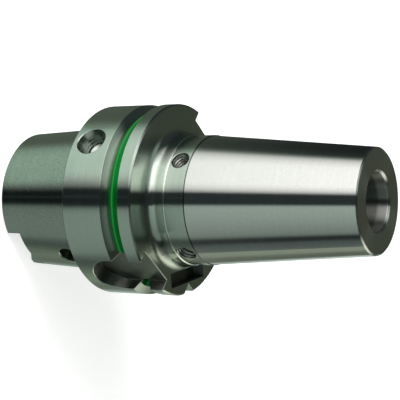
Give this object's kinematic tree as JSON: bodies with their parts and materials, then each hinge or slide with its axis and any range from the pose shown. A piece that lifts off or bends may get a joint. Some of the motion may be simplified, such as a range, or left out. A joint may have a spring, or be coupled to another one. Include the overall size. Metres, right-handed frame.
{
  "type": "shrink fit chuck",
  "caption": "Shrink fit tool holder with a hollow taper shank, gripper flange, slim conical nose and 18 mm clamping bore.",
  "frame": {"origin": "centre of the flange's contact face, on the chuck's axis, at the gauge plane", "axes": "+Z along the axis towards the nose; +X towards the narrow keyway; -Y towards the hole for the data chip"},
  "size_m": [0.063, 0.063, 0.127],
  "materials": {
    "ground_steel": "ground and polished, fine turned lay",
    "marker_green": "glossy",
    "oxide_steel": "black oxide",
    "tube_steel": "satin turned",
    "seal_rubber": "matt"
  },
  "bodies": {
    "chuck": {"chuck_body": "ground_steel", "marker_band_left": "marker_green", "marker_band_right": "marker_green", "tube_nut": "oxide_steel"},
    "stop": {"stop_screw": "oxide_steel"},
    "seals": {"tube_seal_front": "seal_rubber", "tube_seal_rear": "seal_rubber"},
    "tube": {"coolant_tube": "tube_steel"}
  },
  "joints": [
    {"name": "stop_screw_feed", "type": "slide", "parent": "chuck", "child": "stop", "axis": [0, 0, 1], "range_m": [0, 0.01]},
    {"name": "tube_float_x", "type": "hinge", "parent": "chuck", "child": "seals", "pos_m": [0, 0, 0.0124], "axis": [1, 0, 0], "range_deg": [-1, 1]},
    {"name": "tube_float_y", "type": "hinge", "parent": "seals", "child": "tube", "pos_m": [0, 0, 0.0124], "axis": [0, 1, 0], "range_deg": [-1, 1]}
  ]
}
